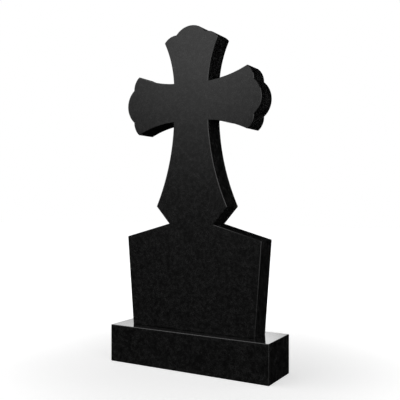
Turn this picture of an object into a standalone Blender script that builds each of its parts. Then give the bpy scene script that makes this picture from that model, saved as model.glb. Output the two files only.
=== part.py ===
"""Cross headstone: a cross stele sawn from one slab of polished black granite, on a plain granite plinth.

Metres, +Z up. The front faces -Y and X runs along the width.
The origin is the middle of the plinth's underside.
"""

import math

import bmesh
import bpy
from mathutils import Vector

# Driving dimensions. Heights on the stele are measured from the top of the plinth.
PLINTH_WIDTH = 0.700
PLINTH_DEPTH = 0.200
PLINTH_HEIGHT = 0.150
STELE_WIDTH = 0.600
STELE_HEIGHT = 1.200
STELE_THICKNESS = 0.100
JOINT_GAP = 0.0003
ARRIS = 0.002

# The cross: its top arm and its two side arms are alike, and all three are measured
# from the point where they meet.
ARM_REACH = STELE_WIDTH / 2
CROSS_HEIGHT = STELE_HEIGHT - ARM_REACH
ARM_ROOT_HALF = 0.077
ARM_CORNER_HALF = 0.120
ARM_CORNER_REACH = ARM_REACH - 0.057
ARM_FLARE_RADIUS = 0.430
NOTCH_HALF = 0.066
NOTCH_REACH = ARM_REACH - 0.031
SIDE_LOBE_RADIUS = 0.066

# The shaft below the arms, and the tablet that it grows from.
WAIST_HALF = 0.1585
WAIST_HEIGHT = 0.4885
SHAFT_FLARE_RADIUS = 0.880
NECK_HALF = 0.099
NECK_HEIGHT = 0.420
SHOULDER_HALF = STELE_WIDTH / 2
SHOULDER_HEIGHT = 0.3635
BASE_HALF = 0.2725

# The most that a flat facet may lie off the arc that it stands for.
FACET_ERROR = 0.00004


def arc(start, end, radius, bulge):
    """The points of an arc after start, up to end.

    It bows to the right of its way for bulge 1 and to the left for -1.
    """
    start = Vector(start)
    end = Vector(end)
    chord = end - start
    to_right = Vector((chord.y, -chord.x)).normalized()
    depth = math.sqrt(radius**2 - chord.length_squared / 4)
    centre = (start + end) / 2 - bulge * depth * to_right
    first = start - centre
    sweep = first.angle_signed(end - centre)
    widest = 2 * math.acos(1 - FACET_ERROR / radius)
    steps = math.ceil(abs(sweep) / widest)
    points = []
    for step in range(1, steps + 1):
        angle = -sweep * step / steps
        turned = Vector(
            (
                first.x * math.cos(angle) - first.y * math.sin(angle),
                first.x * math.sin(angle) + first.y * math.cos(angle),
            )
        )
        points.append(centre + turned)
    return points


def arm_half():
    """The +X side of an arm that points along +Y, from its root to the tip of its middle lobe."""
    root = (ARM_ROOT_HALF, ARM_ROOT_HALF)
    corner = (ARM_CORNER_HALF, ARM_CORNER_REACH)
    notch = (NOTCH_HALF, NOTCH_REACH)
    tip = (0.0, ARM_REACH)
    rise = ARM_REACH - NOTCH_REACH
    middle_lobe_radius = (rise**2 + NOTCH_HALF**2) / (2 * rise)
    points = [Vector(root)]
    points += arc(root, corner, ARM_FLARE_RADIUS, -1)
    points += arc(corner, notch, SIDE_LOBE_RADIUS, 1)
    points += arc(notch, tip, middle_lobe_radius, 1)
    return points


def right_half():
    """The right half of the stele's outline, from its base up to the tip of the top arm, X from its axis."""
    centre = Vector((0.0, CROSS_HEIGHT))
    waist = Vector((WAIST_HALF, WAIST_HEIGHT))
    shaft_top = centre + Vector((ARM_ROOT_HALF, -ARM_ROOT_HALF))
    half = arm_half()
    under_arm = [centre + Vector((p.y, -p.x)) for p in half]
    over_arm = [centre + Vector((p.y, p.x)) for p in reversed(half)]
    top_arm = [centre + p for p in half]
    points = [
        Vector((BASE_HALF, JOINT_GAP)),
        Vector((SHOULDER_HALF, SHOULDER_HEIGHT)),
        Vector((NECK_HALF, NECK_HEIGHT)),
        waist,
    ]
    points += arc(waist, shaft_top, SHAFT_FLARE_RADIUS, -1)
    points += under_arm[1:]
    points += over_arm[1:]
    points += top_arm[1:]
    return points


def granite(name, roughness):
    """Polished black granite: nearly black, with its brightness left to what its surface mirrors."""
    material = bpy.data.materials.new(name)
    material.use_nodes = True
    shader = material.node_tree.nodes["Principled BSDF"]
    shader.inputs["Base Color"].default_value = (0.012, 0.012, 0.012, 1.0)
    shader.inputs["Roughness"].default_value = roughness
    shader.inputs["Metallic"].default_value = 0.0
    return material


def make_stele(collection):
    """The cross, its shaft and the tablet, one slab with a small chamfer round both faces."""
    right = right_half()
    left = [Vector((-p.x, p.y)) for p in reversed(right[:-1])]
    outline = right + left
    curve = bpy.data.curves.new("cross_stele", "CURVE")
    curve.dimensions = "2D"
    curve.fill_mode = "BOTH"
    curve.extrude = STELE_THICKNESS / 2 - ARRIS
    curve.bevel_depth = ARRIS
    curve.bevel_resolution = 0
    curve.offset = -ARRIS
    spline = curve.splines.new("POLY")
    spline.points.add(len(outline) - 1)
    for point, place in zip(spline.points, outline):
        point.co = (place.x, place.y, 0.0, 1.0)
    spline.use_cyclic_u = True
    curve.materials.append(granite("stele_granite", roughness=0.12))
    stele = bpy.data.objects.new("cross_stele", curve)
    stele.location.z = PLINTH_HEIGHT
    stele.rotation_euler.x = math.pi / 2
    collection.objects.link(stele)
    return stele


def make_plinth(collection):
    """A plain block, chamfered along its top and upright edges and sharp round the underside."""
    bm = bmesh.new()
    bmesh.ops.create_cube(bm, size=1.0)
    bmesh.ops.scale(bm, vec=(PLINTH_WIDTH, PLINTH_DEPTH, PLINTH_HEIGHT), verts=bm.verts)
    bmesh.ops.translate(bm, vec=(0.0, 0.0, PLINTH_HEIGHT / 2), verts=bm.verts)
    seen = [e for e in bm.edges if max(v.co.z for v in e.verts) > PLINTH_HEIGHT / 2]
    bmesh.ops.bevel(bm, geom=seen, offset=ARRIS, segments=1, profile=0.5, affect="EDGES")
    mesh = bpy.data.meshes.new("plinth")
    bm.to_mesh(mesh)
    bm.free()
    mesh.materials.append(granite("plinth_granite", roughness=0.1))
    plinth = bpy.data.objects.new("plinth", mesh)
    collection.objects.link(plinth)
    return plinth


for old in list(bpy.data.objects):
    bpy.data.objects.remove(old)

headstone = bpy.data.collections.new("cross_headstone")
bpy.context.scene.collection.children.link(headstone)
make_plinth(headstone)
make_stele(headstone)
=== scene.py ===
import math

import bmesh
import bpy
from mathutils import Matrix, Vector


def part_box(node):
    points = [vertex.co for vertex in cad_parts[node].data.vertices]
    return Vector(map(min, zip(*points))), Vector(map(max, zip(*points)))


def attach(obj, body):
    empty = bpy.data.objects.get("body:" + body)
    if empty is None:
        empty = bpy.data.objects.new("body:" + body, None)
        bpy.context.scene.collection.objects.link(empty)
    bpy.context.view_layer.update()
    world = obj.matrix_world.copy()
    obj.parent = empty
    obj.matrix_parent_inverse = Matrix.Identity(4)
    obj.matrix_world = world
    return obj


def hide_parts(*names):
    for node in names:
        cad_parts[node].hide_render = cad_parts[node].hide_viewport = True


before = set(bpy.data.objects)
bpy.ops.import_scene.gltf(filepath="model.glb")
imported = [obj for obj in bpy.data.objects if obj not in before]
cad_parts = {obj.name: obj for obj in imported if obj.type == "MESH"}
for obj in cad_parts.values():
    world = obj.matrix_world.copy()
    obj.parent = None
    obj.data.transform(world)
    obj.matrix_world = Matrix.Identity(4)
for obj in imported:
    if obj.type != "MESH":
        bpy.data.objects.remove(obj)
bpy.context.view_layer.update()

# The plinth: a plain block of black granite that the stele stands on. It is sawn to size, polished on
# the top and on all four upright sides, and left as the saw cut it underneath. Its polished arrises are
# eased.
plinth_low, plinth_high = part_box("plinth")
PLINTH_ARRIS = 0.002


def new_socket(tree, name, kind, way="INPUT"):
    """Puts a named socket on a node group."""
    tree.interface.new_socket(name=name, in_out=way, socket_type=kind)


def worked_out(tree, kind, *values):
    """A Math node's answer, from numbers and other nodes' answers."""
    node = tree.nodes.new("ShaderNodeMath")
    node.operation = kind
    for socket, value in zip(node.inputs, values):
        if isinstance(value, (int, float)):
            socket.default_value = value
        else:
            tree.links.new(value, socket)
    return node.outputs["Value"]


def eased(tree, value, start, end, at_start, at_end):
    """Goes smoothly from at_start to at_end while the given value goes from start to end."""
    node = tree.nodes.new("ShaderNodeMapRange")
    node.interpolation_type = "SMOOTHSTEP"
    node.inputs["From Min"].default_value = start
    node.inputs["From Max"].default_value = end
    node.inputs["To Min"].default_value = at_start
    node.inputs["To Max"].default_value = at_end
    tree.links.new(value, node.inputs["Value"])
    return node.outputs["Result"]


# The grain's crystals, in metres across, along and deep, and how ragged their sides are.
DARK_GRAIN = (0.0026, 0.0021, 0.0026)
FIRST_LATH = (0.0011, 0.0032, 0.0011)
OTHER_LATH = (0.0010, 0.0028, 0.0010)
# The painted glints: specks of painted light in the tone, where crystal faces would sparkle.
GLINT = (0.0008, 0.0009, 0.0008)
RAGGEDNESS = 0.0011
# Each crystal has a chance from 0 to 1. From the first of these it begins to be a lath or a glint, and
# from the second it is one fully. A glint is painted light: a bright speck painted into the tone where a
# crystal face would sparkle, and it adds this many times the feldspar's tone.
LATH_CHANCE = (0.82, 0.94)
GLINT_CHANCE = (0.975, 0.99)
GLINT_GAIN = 1.5
# The mottle: small patches and larger clouds, from noise that keeps mostly within this span.
PATCH_SIZE = 0.016
CLOUD_SIZE = 0.045
PATCH_SHARE = 0.7
NOISE_SPAN = (0.3, 0.7)
# What the crystals add to the roughness of the polish.
LATH_ROUGHNESS = 0.015
GRAIN_ROUGHNESS = 0.01
# The unevenness of a polished face: a slow wave, and laths that stand a little proud.
WAVE_SIZE = 0.03
WAVE_SHARE = 0.7
LATH_SHARE = 0.04


def granite_grain():
    """The stone's grain, for any slab of it: crystals 1 to 3 mm across, a patchy mottle, and the slight
    unevenness of a polished face. It gives the tone, the roughness and the relief at each point."""
    tree = bpy.data.node_groups.new("black_granite_grain", "ShaderNodeTree")
    new_socket(tree, "Place", "NodeSocketVector")
    new_socket(tree, "Ground", "NodeSocketFloat")
    new_socket(tree, "Feldspar", "NodeSocketFloat")
    new_socket(tree, "Mottle", "NodeSocketFloat")
    new_socket(tree, "Polish", "NodeSocketFloat")
    new_socket(tree, "Tone", "NodeSocketColor", "OUTPUT")
    new_socket(tree, "Roughness", "NodeSocketFloat", "OUTPUT")
    new_socket(tree, "Relief", "NodeSocketFloat", "OUTPUT")
    nodes, links = tree.nodes, tree.links
    given = nodes.new("NodeGroupInput")
    result = nodes.new("NodeGroupOutput")

    def add(first, second):
        return worked_out(tree, "ADD", first, second)

    def times(first, second):
        return worked_out(tree, "MULTIPLY", first, second)

    def noise(size, detail, roughness=0.55):
        node = nodes.new("ShaderNodeTexNoise")
        node.inputs["Scale"].default_value = 1 / size
        node.inputs["Detail"].default_value = detail
        node.inputs["Roughness"].default_value = roughness
        links.new(given.outputs["Place"], node.inputs["Vector"])
        return node.outputs["Fac"]

    def crystals(size, turn):
        """Cells of this size, lying at this turn, each with a chance of its own from 0 to 1."""
        turned = nodes.new("ShaderNodeMapping")
        turned.inputs["Rotation"].default_value = turn
        turned.inputs["Scale"].default_value = [1 / side for side in size]
        links.new(bent, turned.inputs["Vector"])
        cells = nodes.new("ShaderNodeTexVoronoi")
        cells.inputs["Scale"].default_value = 1.0
        links.new(turned.outputs["Vector"], cells.inputs["Vector"])
        chance = nodes.new("ShaderNodeSeparateColor")
        links.new(cells.outputs["Color"], chance.inputs["Color"])
        return chance.outputs["Red"]

    # Crystals have ragged sides, so the places are nudged a little before the cells are drawn.
    ragged = nodes.new("ShaderNodeTexNoise")
    ragged.inputs["Scale"].default_value = 1 / RAGGEDNESS
    ragged.inputs["Detail"].default_value = 1.0
    links.new(given.outputs["Place"], ragged.inputs["Vector"])
    centred = nodes.new("ShaderNodeVectorMath")
    centred.operation = "SUBTRACT"
    centred.inputs[1].default_value = (0.5, 0.5, 0.5)
    links.new(ragged.outputs["Color"], centred.inputs[0])
    nudge = nodes.new("ShaderNodeVectorMath")
    nudge.operation = "MULTIPLY_ADD"
    nudge.inputs[1].default_value = (RAGGEDNESS, RAGGEDNESS, RAGGEDNESS)
    links.new(centred.outputs["Vector"], nudge.inputs[0])
    links.new(given.outputs["Place"], nudge.inputs[2])
    bent = nudge.outputs["Vector"]

    dark_grains = crystals(DARK_GRAIN, turn=(0.5, 0.2, 0.9))
    first_laths = eased(tree, crystals(FIRST_LATH, turn=(0.4, 0.3, 0.6)), *LATH_CHANCE, 0.0, 1.0)
    other_laths = eased(tree, crystals(OTHER_LATH, turn=(1.3, 0.9, -0.8)), *LATH_CHANCE, 0.0, 1.0)
    # Painted glints: the rarest small cells are lit up in the tone, as a painted sparkle.
    glints = eased(tree, crystals(GLINT, turn=(0.0, 0.4, 0.2)), *GLINT_CHANCE, 0.0, 1.0)
    feldspar = worked_out(tree, "MAXIMUM", first_laths, other_laths)
    patches = eased(tree, noise(PATCH_SIZE, detail=1.0, roughness=0.5), *NOISE_SPAN, -1.0, 1.0)
    clouds = eased(tree, noise(CLOUD_SIZE, detail=2.0), *NOISE_SPAN, -1.0, 1.0)
    cloudiness = add(times(patches, PATCH_SHARE), times(clouds, 1 - PATCH_SHARE))
    mottle = add(1.0, times(cloudiness, given.outputs["Mottle"]))
    # The ground's crystals run from half of its own tone to one and a half times that.
    ground = times(times(given.outputs["Ground"], add(0.5, dark_grains)), mottle)
    pale = times(times(given.outputs["Feldspar"], feldspar), mottle)
    # The spark is painted light: glints painted into the tone, bright under any lamp.
    spark = times(given.outputs["Feldspar"], times(glints, GLINT_GAIN))
    tone = add(add(ground, pale), spark)
    grey = nodes.new("ShaderNodeCombineColor")
    for channel in ("Red", "Green", "Blue"):
        links.new(tone, grey.inputs[channel])
    links.new(grey.outputs["Color"], result.inputs["Tone"])

    rough = add(given.outputs["Polish"], times(feldspar, LATH_ROUGHNESS))
    links.new(add(rough, times(dark_grains, GRAIN_ROUGHNESS)), result.inputs["Roughness"])
    wave = times(noise(WAVE_SIZE, detail=1.0), WAVE_SHARE)
    links.new(add(wave, times(feldspar, LATH_SHARE)), result.inputs["Relief"])
    return tree


# The polished stone: its index of refraction, how bright its ground and its feldspar are, how much the
# mottle changes them, how rough the polish is, and how deep its unevenness goes.
STONE_IOR = 1.6
GROUND_TONE = 0.0100
FELDSPAR_TONE = 0.030
MOTTLE = 0.8
POLISH = 0.03
RELIEF_DEPTH = 0.00002


def polished_granite(name, grain, start, turn):
    """Polished black granite: a dark mirror with the grain showing in it. A slab is cut from the block of
    grain at this start and turn."""
    material = bpy.data.materials.new(name)
    material.use_nodes = True
    nodes, links = material.node_tree.nodes, material.node_tree.links
    shader = nodes["Principled BSDF"]
    shader.inputs["IOR"].default_value = STONE_IOR
    place = nodes.new("ShaderNodeTexCoord")
    slab = nodes.new("ShaderNodeMapping")
    slab.inputs["Location"].default_value = start
    slab.inputs["Rotation"].default_value = turn
    links.new(place.outputs["Object"], slab.inputs["Vector"])
    stone = nodes.new("ShaderNodeGroup")
    stone.node_tree = grain
    stone.inputs["Ground"].default_value = GROUND_TONE
    stone.inputs["Feldspar"].default_value = FELDSPAR_TONE
    stone.inputs["Mottle"].default_value = MOTTLE
    stone.inputs["Polish"].default_value = POLISH
    links.new(slab.outputs["Vector"], stone.inputs["Place"])
    bump = nodes.new("ShaderNodeBump")
    bump.inputs["Strength"].default_value = 1.0
    bump.inputs["Distance"].default_value = RELIEF_DEPTH
    links.new(stone.outputs["Relief"], bump.inputs["Height"])
    links.new(stone.outputs["Tone"], shader.inputs["Base Color"])
    links.new(stone.outputs["Roughness"], shader.inputs["Roughness"])
    links.new(bump.outputs["Normal"], shader.inputs["Normal"])
    return material


# The sawn face: stone dust from dark to pale, and the marks of the blade.
DUST_SCALE = 220.0
DUST_DETAIL = 6.0
DUST_DARK = (0.022, 0.022, 0.023, 1.0)
DUST_PALE = (0.095, 0.095, 0.098, 1.0)
BLADE_SCALE = 60.0
BLADE_WANDER = 1.5
BLADE_STRENGTH = 0.6
BLADE_DEPTH = 0.0002
SAWN_ROUGHNESS = 0.75


def sawn_granite(name):
    """The face that the saw leaves: grey with stone dust, and combed by the blade."""
    material = bpy.data.materials.new(name)
    material.use_nodes = True
    nodes, links = material.node_tree.nodes, material.node_tree.links
    shader = nodes["Principled BSDF"]
    shader.inputs["IOR"].default_value = STONE_IOR
    shader.inputs["Roughness"].default_value = SAWN_ROUGHNESS
    place = nodes.new("ShaderNodeTexCoord")
    dust = nodes.new("ShaderNodeTexNoise")
    dust.inputs["Scale"].default_value = DUST_SCALE
    dust.inputs["Detail"].default_value = DUST_DETAIL
    links.new(place.outputs["Object"], dust.inputs["Vector"])
    tone = nodes.new("ShaderNodeValToRGB")
    tone.color_ramp.elements[0].color = DUST_DARK
    tone.color_ramp.elements[1].color = DUST_PALE
    links.new(dust.outputs["Fac"], tone.inputs["Fac"])
    links.new(tone.outputs["Color"], shader.inputs["Base Color"])
    blade = nodes.new("ShaderNodeTexWave")
    blade.inputs["Scale"].default_value = BLADE_SCALE
    blade.inputs["Distortion"].default_value = BLADE_WANDER
    links.new(place.outputs["Object"], blade.inputs["Vector"])
    bump = nodes.new("ShaderNodeBump")
    bump.inputs["Strength"].default_value = BLADE_STRENGTH
    bump.inputs["Distance"].default_value = BLADE_DEPTH
    links.new(blade.outputs["Fac"], bump.inputs["Height"])
    links.new(bump.outputs["Normal"], shader.inputs["Normal"])
    return material


def only(kind, items):
    """The items of one kind, out of all that a bmesh operator gives back."""
    return [item for item in items if isinstance(item, kind)]


def cut_corners(bm, corners, width):
    """Takes the outward corners off a stone's outline, with a flat cut this far along each side."""
    bmesh.ops.bevel(
        bm,
        geom=corners,
        offset=width,
        segments=1,
        profile=0.5,
        affect="VERTICES",
        material=-1,
    )


# An arris is eased in three cuts, each given as shares of its width inwards and outwards. The middle one
# is the flat chamfer, and the narrow ones take off its two edges, as a polishing pad does.
ARRIS_CUTS = [(0.05, 0.11), (0.84, 0.84), (0.11, 0.05)]


def ease_round(bm, face, width):
    """Eases the arris all round a face, by raising the face and drawing it in."""
    for inward, outward in ARRIS_CUTS:
        bmesh.ops.inset_region(
            bm,
            faces=[face],
            thickness=inward * width,
            depth=outward * width,
            use_boundary=True,
            use_even_offset=True,
        )


# Edges that turn more than this stay crisp.
SHARP_FROM = math.radians(30)
# Corners nearer than this are taken to meet, or to lie level.
TOUCH = 0.00001


def finish_stone(name, bm, polished, sawn):
    """The finished object of one stone: polished all round, and sawn where it faces down."""
    bmesh.ops.recalc_face_normals(bm, faces=bm.faces)
    lowest = min(vert.co.z for vert in bm.verts)
    for face in bm.faces:
        face.smooth = True
        if all(vert.co.z < lowest + TOUCH for vert in face.verts):
            face.material_index = 1
    mesh = bpy.data.meshes.new(name)
    bm.to_mesh(mesh)
    bm.free()
    mesh.materials.append(polished)
    mesh.materials.append(sawn)
    mesh.set_sharp_from_angle(angle=SHARP_FROM)
    stone = bpy.data.objects.new(name, mesh)
    bpy.context.scene.collection.objects.link(stone)
    flats = stone.modifiers.new("flat_faces", "WEIGHTED_NORMAL")
    flats.keep_sharp = True
    return stone


grain = granite_grain()
sawn = sawn_granite("sawn_granite")
block = bmesh.new()
bmesh.ops.create_grid(block, x_segments=1, y_segments=1, size=0.5)
bmesh.ops.scale(block, vec=plinth_high - plinth_low, verts=block.verts)
bmesh.ops.translate(block, vec=(0.0, 0.0, plinth_low.z), verts=block.verts)
cut_corners(block, block.verts[:], PLINTH_ARRIS)
raised = bmesh.ops.extrude_face_region(block, geom=block.faces[:])["geom"]
plinth_side = plinth_high.z - plinth_low.z - PLINTH_ARRIS
bmesh.ops.translate(block, vec=(0.0, 0.0, plinth_side), verts=only(bmesh.types.BMVert, raised))
bmesh.ops.recalc_face_normals(block, faces=block.faces)
ease_round(block, only(bmesh.types.BMFace, raised)[0], PLINTH_ARRIS)
plinth_stone = polished_granite("plinth_granite", grain, start=(0.4, 0.2, 0.7), turn=(0.3, 0.5, 0.2))
plinth = finish_stone("polished_plinth", block, plinth_stone, sawn)
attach(plinth, "root")
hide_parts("plinth")

# The stele: the cross, its shaft and the tablet, cut as one outline from a slab of the same granite,
# polished on both faces and all round the edge, and eased along every arris. It stands on the plinth.
stele_low, stele_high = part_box("cross_stele")
STELE_ARRIS = 0.002
# The most that a flat facet may lie off the arc that it stands for, and how near two ends are joined.
FACET_ERROR = 0.00002
JOIN_WITHIN = 0.00002
# Outward corners of the outline, above its base, are cut where they turn more than this.
CORNER_FROM = math.radians(25)
ARM_REACH = stele_high.x
CROSS_CENTRE = stele_high.z - ARM_REACH
ARM_ROOT_HALF = 0.077
ARM_CORNER_HALF = 0.120
ARM_CORNER_REACH = ARM_REACH - 0.057
ARM_FLARE_RADIUS = 0.430
NOTCH_HALF = 0.066
NOTCH_REACH = ARM_REACH - 0.031
SIDE_LOBE_RADIUS = 0.066
MIDDLE_LOBE_RISE = ARM_REACH - NOTCH_REACH
MIDDLE_LOBE_RADIUS = (MIDDLE_LOBE_RISE**2 + NOTCH_HALF**2) / (2 * MIDDLE_LOBE_RISE)
SHAFT_FLARE_RADIUS = 0.880
WAIST = Vector((0.1585, 0.0, plinth_high.z + 0.4885))
NECK = Vector((0.099, 0.0, plinth_high.z + 0.420))
SHOULDER = Vector((ARM_REACH, 0.0, plinth_high.z + 0.3635))
BASE = Vector((0.2725, 0.0, stele_low.z))


def swing(bm, vert, end, radius, bow):
    """Carries a corner of the outline along an arc to end, and gives its last corner. Seen from the
    front, the arc bows to the right of its way for bow 1 and to the left for -1."""
    chord = end - vert.co
    to_right = Vector((chord.z, 0.0, -chord.x)).normalized()
    depth = math.sqrt(radius**2 - chord.length_squared / 4)
    centre = (vert.co + end) / 2 - bow * depth * to_right
    sweep = 2 * math.asin(chord.length / (2 * radius))
    steps = math.ceil(sweep / (2 * math.acos(1 - FACET_ERROR / radius)))
    made = bmesh.ops.spin(
        bm,
        geom=[vert],
        cent=centre,
        axis=(0, -1, 0),
        angle=bow * sweep,
        steps=steps,
    )
    return only(bmesh.types.BMVert, made["geom_last"])[0]


def straight(bm, vert, end):
    """Carries a corner of the outline straight to end."""
    corner = bm.verts.new(end)
    bm.edges.new((vert, corner))
    return corner


outline = bmesh.new()
corner = outline.verts.new((ARM_ROOT_HALF, 0.0, ARM_ROOT_HALF))
arm_corner = Vector((ARM_CORNER_HALF, 0.0, ARM_CORNER_REACH))
corner = swing(outline, corner, arm_corner, ARM_FLARE_RADIUS, -1)
corner = swing(outline, corner, Vector((NOTCH_HALF, 0.0, NOTCH_REACH)), SIDE_LOBE_RADIUS, 1)
swing(outline, corner, Vector((0.0, 0.0, ARM_REACH)), MIDDLE_LOBE_RADIUS, 1)
half_arm = outline.verts[:] + outline.edges[:]
bmesh.ops.mirror(outline, geom=half_arm, axis="X", merge_dist=TOUCH)
top_arm = outline.verts[:] + outline.edges[:]
for quarter in (-1, 1):
    copied = bmesh.ops.duplicate(outline, geom=top_arm)["geom"]
    quarter_turn = Matrix.Rotation(quarter * math.pi / 2, 3, "Y")
    bmesh.ops.rotate(outline, verts=only(bmesh.types.BMVert, copied), matrix=quarter_turn)
bmesh.ops.translate(outline, vec=(0.0, 0.0, CROSS_CENTRE), verts=outline.verts)

shaft = bmesh.new()
corner = shaft.verts.new((0.0, 0.0, BASE.z))
for end in (BASE, SHOULDER, NECK, WAIST):
    corner = straight(shaft, corner, end)
shaft_top = Vector((ARM_ROOT_HALF, 0.0, CROSS_CENTRE - ARM_ROOT_HALF))
swing(shaft, corner, shaft_top, SHAFT_FLARE_RADIUS, -1)
bmesh.ops.mirror(shaft, geom=shaft.verts[:] + shaft.edges[:], axis="X", merge_dist=TOUCH)
shaft_mesh = bpy.data.meshes.new("shaft_outline")
shaft.to_mesh(shaft_mesh)
shaft.free()
outline.from_mesh(shaft_mesh)
bpy.data.meshes.remove(shaft_mesh)
bmesh.ops.remove_doubles(outline, verts=outline.verts, dist=JOIN_WITHIN)
base_middle = [v for v in outline.verts if abs(v.co.x) < TOUCH and v.co.z < SHOULDER.z]
bmesh.ops.dissolve_verts(outline, verts=base_middle)

front = bmesh.ops.contextual_create(outline, geom=outline.edges[:])["faces"][0]
outward = [loop.vert for loop in front.loops if loop.is_convex]
above_base = [vert for vert in outward if vert.co.z > BASE.z + TOUCH]
corners = [vert for vert in above_base if vert.calc_edge_angle() > CORNER_FROM]
cut_corners(outline, corners, STELE_ARRIS)
bmesh.ops.translate(outline, vec=(0.0, stele_low.y + STELE_ARRIS, 0.0), verts=outline.verts)
sawn_through = bmesh.ops.extrude_face_region(outline, geom=outline.faces[:])["geom"]
slab_edge = stele_high.y - stele_low.y - 2 * STELE_ARRIS
slab_back = only(bmesh.types.BMVert, sawn_through)
bmesh.ops.translate(outline, vec=(0.0, slab_edge, 0.0), verts=slab_back)
bmesh.ops.recalc_face_normals(outline, faces=outline.faces)
broad_faces = [face for face in outline.faces if abs(face.normal.y) > 0.9]
for face in broad_faces:
    ease_round(outline, face, STELE_ARRIS)
stele_stone = polished_granite("stele_granite", grain, start=(0.0, 0.0, 0.0), turn=(0.0, 0.0, 0.0))
stele = finish_stone("polished_cross_stele", outline, stele_stone, sawn)
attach(stele, "root")
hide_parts("cross_stele")

# The floor: pale, plain and even. It carries the headstone and a faint shadow round its foot. It shows
# to the camera alone, so that the polished stone mirrors the lights and not the floor.
FLOOR_HALF = 12.0
FLOOR_TONE = 0.9
# How brightly the floor glows of itself, which keeps the shadow faint. Between these distances from the
# middle the glow rises to the backdrop's white.
FLOOR_LIFT = 0.6
RISES_FROM = 0.3
WHITE_FROM = 1.6
floor_grid = bmesh.new()
bmesh.ops.create_grid(floor_grid, x_segments=1, y_segments=1, size=FLOOR_HALF)
floor_mesh = bpy.data.meshes.new("floor")
floor_grid.to_mesh(floor_mesh)
floor_grid.free()
pale = bpy.data.materials.new("pale_floor")
pale.use_nodes = True
pale_tree = pale.node_tree
pale_shader = pale_tree.nodes["Principled BSDF"]
pale_shader.inputs["Base Color"].default_value = (FLOOR_TONE, FLOOR_TONE, FLOOR_TONE, 1.0)
pale_shader.inputs["Roughness"].default_value = 1.0
pale_shader.inputs["Specular IOR Level"].default_value = 0.0
pale_shader.inputs["Emission Color"].default_value = (1.0, 1.0, 1.0, 1.0)
pale_place = pale_tree.nodes.new("ShaderNodeTexCoord")
pale_away = pale_tree.nodes.new("ShaderNodeVectorMath")
pale_away.operation = "LENGTH"
pale_tree.links.new(pale_place.outputs["Object"], pale_away.inputs[0])
pale_glow = eased(pale_tree, pale_away.outputs["Value"], RISES_FROM, WHITE_FROM, FLOOR_LIFT, 1.0)
pale_tree.links.new(pale_glow, pale_shader.inputs["Emission Strength"])
floor_mesh.materials.append(pale)
floor = bpy.data.objects.new("floor", floor_mesh)
floor.location.z = plinth_low.z
floor.visible_glossy = False
floor.visible_diffuse = False
bpy.context.scene.collection.objects.link(floor)

# The light: a bright, soft studio. A ring of diffusing cloth stands round the stone, 3 m off and out of
# the camera's sight, and each wash on it is a broad lamp behind the cloth. A soft sky of light hangs
# over it all, and the backdrop that the camera sees is pure white.
RING_RADIUS = 3.0
RING_FOOT = -3.5
RING_TOP = 3.0
RING_SEGMENTS = 180
AMBIENT = 0.0012
# Each wash is a list of (height in metres, brightness), the way it lies from the stone in degrees from
# +Y towards +X, how far it reaches to each side of that, and over how many degrees more it fades. The
# polished stone shows what it mirrors, so a comment says where each wash is seen.
FRONT_WASH = [
    (-0.3, 0.045),
    (0.08, 0.06),
    (0.48, 0.09),
    (0.74, 0.135),
    (1.07, 0.27),
    (1.31, 0.4),
    (1.46, 0.53),
    (1.84, 0.81),
    (2.2, 0.88),
]
PLINTH_TOP_WASH = [
    (0.4, 0.0),
    (0.58, 1.1),
    (0.69, 1.33),
    (0.84, 2.05),
    (0.92, 2.05),
    (1.07, 0.7),
    (1.25, 0.0),
]
ARRIS_WASH = [
    (-0.8, 0.22),
    (-0.4, 0.4),
    (0.0, 0.8),
    (0.7, 1.2),
    (1.4, 1.5),
    (2.0, 1.4),
    (2.6, 1.4),
]
BACK_WASH = [
    (-0.8, 0.0),
    (-0.5, 0.02),
    (0.1, 0.06),
    (0.6, 0.2),
    (1.1, 0.32),
    (1.5, 0.22),
    (1.95, 0.0),
]
WASHES = [
    # In both stones' fronts, from where the camera stands.
    (FRONT_WASH, -154, 0, 36),
    # In the plinth's top, from where the camera stands.
    (PLINTH_TOP_WASH, -40, 22, 10),
    # A dim one above it, which softens its upper end in the back of the stele.
    ([(0.9, 0.0), (1.4, 0.12), (2.2, 0.3), (3.0, 0.35)], -56, 8, 16),
    # In the right-hand arrises, as lines of light, from where the camera stands.
    (ARRIS_WASH, 119, 7, 12),
    # In the front, seen straight on.
    ([(-0.6, 0.03), (0.1, 0.07), (0.7, 0.2), (1.3, 0.45), (1.9, 0.8), (2.3, 0.9)], 180, 4, 12),
    # In the back, seen straight on.
    (BACK_WASH, 0, 2, 12),
    # In the right-hand sides, from where the camera stands. It leaves them almost dark.
    ([(-0.8, 0.002), (2.6, 0.002)], 25, 5, 7),
    # In the front, the back and the sides, seen from other slants.
    ([(-1.0, 0.2), (-0.4, 0.25), (0.3, 0.5), (1.0, 0.8), (2.6, 0.9)], 54, 8, 14),
    ([(-1.0, 0.3), (-0.2, 0.4), (0.6, 0.7), (1.4, 0.9), (2.6, 1.0)], -112, 14, 14),
]
# The sky's one lamp: where it hangs, how many degrees it reaches and then fades over, and how bright
# it is. Below it, the rest of the sky, as degrees above the horizon and the brightness at each.
SKY_LAMP_TURN = math.radians(-114)
SKY_LAMP_RISE = math.radians(64)
SKY_LAMP_REACH = 11
SKY_LAMP_FADE = 8
SKY_LAMP_BRIGHTNESS = 1.3
SKY_STEPS = [(-90, AMBIENT), (33, AMBIENT), (50, 0.06), (75, 0.09), (90, 0.09)]


def brightness_at(tree, height, steps, lowest, highest):
    """How bright each height is, read between the steps."""
    ramp = tree.nodes.new("ShaderNodeValToRGB")
    stops = ramp.color_ramp.elements
    stops.remove(stops[1])
    for number, (step, brightness) in enumerate(steps):
        share = (step - lowest) / (highest - lowest)
        stop = stops[0] if number == 0 else stops.new(share)
        stop.position = share
        stop.color = (brightness, brightness, brightness, 1.0)
    above = worked_out(tree, "SUBTRACT", height, lowest)
    tree.links.new(worked_out(tree, "DIVIDE", above, highest - lowest), ramp.inputs["Fac"])
    return ramp.outputs["Color"]


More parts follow.
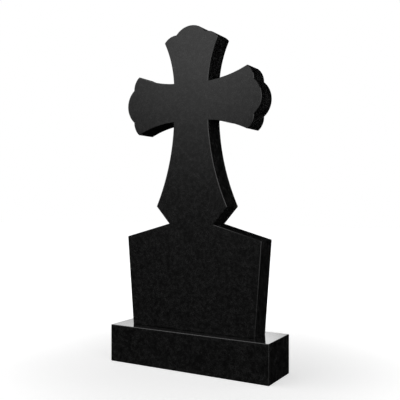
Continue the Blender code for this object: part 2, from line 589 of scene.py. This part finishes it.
def degrees_aside(tree, spot, way, distance):
    """How many degrees a spot that is this far off lies to the side of a way."""
    facing = tree.nodes.new("ShaderNodeVectorMath")
    facing.operation = "DOT_PRODUCT"
    facing.inputs[1].default_value = way
    tree.links.new(spot, facing.inputs[0])
    across = worked_out(tree, "DIVIDE", facing.outputs["Value"], distance)
    return worked_out(tree, "DEGREES", worked_out(tree, "ARCCOSINE", across))


cloth = bpy.data.materials.new("lit_cloth")
cloth.use_nodes = True
weave = cloth.node_tree
weave.nodes.clear()
spot = weave.nodes.new("ShaderNodeTexCoord").outputs["Object"]
split = weave.nodes.new("ShaderNodeSeparateXYZ")
weave.links.new(spot, split.inputs["Vector"])
glow = AMBIENT
for steps, turn, reach, fade in WASHES:
    way = (math.sin(math.radians(turn)), math.cos(math.radians(turn)), 0.0)
    aside = degrees_aside(weave, spot, way, RING_RADIUS)
    mask = eased(weave, aside, reach, reach + fade, 1.0, 0.0)
    wash_steps = [(RING_FOOT, 0.0)] + steps
    lit = brightness_at(weave, split.outputs["Z"], wash_steps, RING_FOOT, RING_TOP)
    glow = worked_out(weave, "ADD", glow, worked_out(weave, "MULTIPLY", mask, lit))
lamp = weave.nodes.new("ShaderNodeEmission")
weave.links.new(glow, lamp.inputs["Color"])
cloth_output = weave.nodes.new("ShaderNodeOutputMaterial")
weave.links.new(lamp.outputs["Emission"], cloth_output.inputs["Surface"])

ring = bmesh.new()
bmesh.ops.create_cone(
    ring,
    cap_ends=False,
    segments=RING_SEGMENTS,
    radius1=RING_RADIUS,
    radius2=RING_RADIUS,
    depth=RING_TOP - RING_FOOT,
)
bmesh.ops.translate(ring, vec=(0.0, 0.0, (RING_TOP + RING_FOOT) / 2), verts=ring.verts)
ring_mesh = bpy.data.meshes.new("light_ring")
ring.to_mesh(ring_mesh)
ring.free()
ring_mesh.materials.append(cloth)
light_ring = bpy.data.objects.new("light_ring", ring_mesh)
light_ring.visible_camera = False
bpy.context.scene.collection.objects.link(light_ring)

world = bpy.data.worlds.new("studio")
world.use_nodes = True
bpy.context.scene.world = world
sky = world.node_tree
sky.nodes.clear()
sky_way = sky.nodes.new("ShaderNodeTexCoord").outputs["Generated"]
sky_split = sky.nodes.new("ShaderNodeSeparateXYZ")
sky.links.new(sky_way, sky_split.inputs["Vector"])
rise = worked_out(sky, "DEGREES", worked_out(sky, "ARCSINE", sky_split.outputs["Z"]))
even = brightness_at(sky, rise, SKY_STEPS, -90, 90)
lamp_way = (
    math.sin(SKY_LAMP_TURN) * math.cos(SKY_LAMP_RISE),
    math.cos(SKY_LAMP_TURN) * math.cos(SKY_LAMP_RISE),
    math.sin(SKY_LAMP_RISE),
)
lamp_aside = degrees_aside(sky, sky_way, lamp_way, distance=1.0)
lamp_end = SKY_LAMP_REACH + SKY_LAMP_FADE
lamp_glow = eased(sky, lamp_aside, SKY_LAMP_REACH, lamp_end, SKY_LAMP_BRIGHTNESS, 0.0)
studio = sky.nodes.new("ShaderNodeBackground")
sky.links.new(worked_out(sky, "ADD", even, lamp_glow), studio.inputs["Color"])
backdrop = sky.nodes.new("ShaderNodeBackground")
backdrop.inputs["Color"].default_value = (1.0, 1.0, 1.0, 1.0)
seen = sky.nodes.new("ShaderNodeLightPath").outputs["Is Camera Ray"]
choose = sky.nodes.new("ShaderNodeMixShader")
sky.links.new(seen, choose.inputs["Fac"])
sky.links.new(studio.outputs["Background"], choose.inputs[1])
sky.links.new(backdrop.outputs["Background"], choose.inputs[2])
sky_output = sky.nodes.new("ShaderNodeOutputWorld")
sky.links.new(choose.outputs["Shader"], sky_output.inputs["Surface"])

# The camera: level, at about the height of the stele's waist, and to the right of the front, as the
# photograph was taken. Its shift frames the stone as the photograph does.
CAMERA_PLACE = (1.2281, -2.2087, 0.6684)
CAMERA_YAW = math.radians(31.19)
CAMERA_LENS = 56.98
CAMERA_SENSOR = 36.0
CAMERA_SHIFT = (0.0666, -0.0026)
camera_data = bpy.data.cameras.new("camera")
camera_data.lens = CAMERA_LENS
camera_data.sensor_width = CAMERA_SENSOR
camera_data.shift_x, camera_data.shift_y = CAMERA_SHIFT
camera = bpy.data.objects.new("camera", camera_data)
camera.location = CAMERA_PLACE
camera.rotation_euler = (math.pi / 2, 0.0, CAMERA_YAW)
bpy.context.scene.collection.objects.link(camera)
bpy.context.scene.camera = camera
bpy.context.scene.view_settings.view_transform = "Standard"
